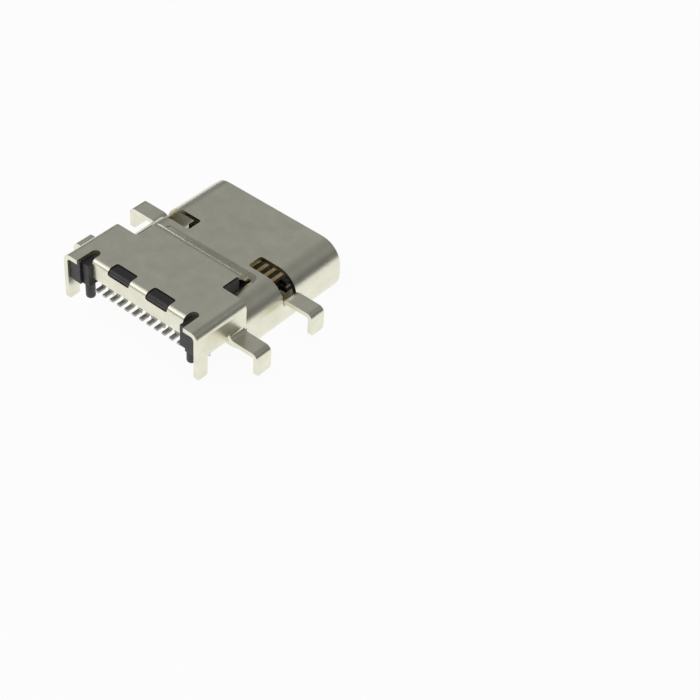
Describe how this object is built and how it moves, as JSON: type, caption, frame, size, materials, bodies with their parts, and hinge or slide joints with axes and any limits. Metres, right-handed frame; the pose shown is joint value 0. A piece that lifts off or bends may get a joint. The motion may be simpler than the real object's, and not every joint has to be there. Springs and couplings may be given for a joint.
{
  "type": "usb-c connector",
  "caption": "Sunk board-mount USB-C receptacle: rolled steel tube with a raised rear canopy, bent board legs, a contact tongue, gull-wing solder feet and through pins.",
  "frame": {"origin": "on the circuit board's upper face, midway between the two locating pegs", "axes": "+X across the mouth, +Y from the mouth to the rear, +Z away from the board"},
  "size_m": [0.0124, 0.0105, 0.0039],
  "materials": {
    "shell_steel": "satin nickel-plated stainless sheet",
    "black_lcp": "matt moulded, glass-filled",
    "gold_contact": "gold flash over nickel",
    "plate_steel": "bright stainless sheet"
  },
  "bodies": {
    "root": {"shell": "shell_steel", "housing": "black_lcp", "tongue": "black_lcp", "mid_plate": "plate_steel", "upper_ground_plate": "plate_steel", "lower_ground_plate": "plate_steel", "upper_contact_01": "gold_contact", "upper_contact_02": "gold_contact", "upper_contact_03": "gold_contact", "upper_contact_04": "gold_contact", "upper_contact_05": "gold_contact", "upper_contact_06": "gold_contact", "upper_contact_07": "gold_contact", "upper_contact_08": "gold_contact", "upper_contact_09": "gold_contact", "upper_contact_10": "gold_contact", "upper_contact_11": "gold_contact", "upper_contact_12": "gold_contact", "lower_contact_01": "gold_contact", "lower_contact_02": "gold_contact", "lower_contact_03": "gold_contact", "lower_contact_04": "gold_contact", "lower_contact_05": "gold_contact", "lower_contact_06": "gold_contact", "lower_contact_07": "gold_contact", "lower_contact_08": "gold_contact", "lower_contact_09": "gold_contact", "lower_contact_10": "gold_contact", "lower_contact_11": "gold_contact", "lower_contact_12": "gold_contact"}
  },
  "joints": []
}
